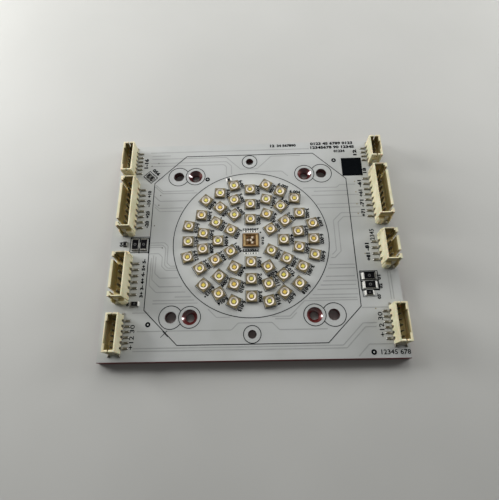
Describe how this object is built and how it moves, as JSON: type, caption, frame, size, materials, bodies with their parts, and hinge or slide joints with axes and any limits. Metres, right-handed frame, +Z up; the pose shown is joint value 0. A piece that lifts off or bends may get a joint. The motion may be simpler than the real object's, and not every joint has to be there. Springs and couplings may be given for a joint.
{
  "type": "led circuit board",
  "caption": "Copper-backed circuit board with a round field of small LEDs, a central multi-chip emitter and top-entry wire sockets along both side edges.",
  "frame": {"origin": "centre of the board's underside, in the middle of the LED field", "axes": "+X towards the right-hand sockets, +Y towards the rear edge, +Z up out of the populated face"},
  "size_m": [0.1124, 0.0926, 0.0109],
  "materials": {
    "copper": "machined copper",
    "board_face": "satin white",
    "black": "matte",
    "tin": "bright tin",
    "led_housing": "satin",
    "led_reflector": "gloss",
    "led_chip": "matte",
    "resin": "clear",
    "gold": "bright",
    "emitter_chip": "gloss",
    "ceramic": "matte",
    "socket_plastic": "satin",
    "pin_metal": "tin plated"
  },
  "bodies": {
    "root": {"copper_plate": "copper", "white_layer": "board_face", "ink_marks": "black", "tin_pads": "tin", "led_housings_spoke_1": "led_housing", "led_housings_spoke_2": "led_housing", "led_housings_spoke_3": "led_housing", "led_housings_row_1": "led_housing", "led_housings_row_2": "led_housing", "led_housings_row_3": "led_housing", "led_reflectors_spoke_1": "led_reflector", "led_reflectors_spoke_2": "led_reflector", "led_reflectors_spoke_3": "led_reflector", "led_reflectors_row_1": "led_reflector", "led_reflectors_row_2": "led_reflector", "led_reflectors_row_3": "led_reflector", "led_chips_spoke_1": "led_chip", "led_chips_spoke_2": "led_chip", "led_chips_spoke_3": "led_chip", "led_chips_row_1": "led_chip", "led_chips_row_2": "led_chip", "led_chips_row_3": "led_chip", "led_resin": "resin", "emitter_carrier": "gold", "emitter_rim": "gold", "emitter_bars": "gold", "emitter_chips": "emitter_chip", "power_resistor_cores": "ceramic", "power_resistor_coats": "black", "power_resistor_ends": "tin", "chip_cores": "ceramic", "chip_coats": "black", "chip_ends": "tin", "left_socket_1_housing": "socket_plastic", "left_socket_1_pins": "pin_metal", "left_socket_1_tabs": "tin", "left_socket_2_housing": "socket_plastic", "left_socket_2_pins": "pin_metal", "left_socket_2_tabs": "tin", "left_socket_3_housing": "socket_plastic", "left_socket_3_pins": "pin_metal", "left_socket_3_tabs": "tin", "left_socket_4_housing": "socket_plastic", "left_socket_4_pins": "pin_metal", "left_socket_4_tabs": "tin", "right_socket_1_housing": "socket_plastic", "right_socket_1_pins": "pin_metal", "right_socket_1_tabs": "tin", "right_socket_2_housing": "socket_plastic", "right_socket_2_pins": "pin_metal", "right_socket_2_tabs": "tin", "right_socket_3_housing": "socket_plastic", "right_socket_3_pins": "pin_metal", "right_socket_3_tabs": "tin", "right_socket_4_housing": "socket_plastic", "right_socket_4_pins": "pin_metal", "right_socket_4_tabs": "tin"}
  },
  "joints": []
}
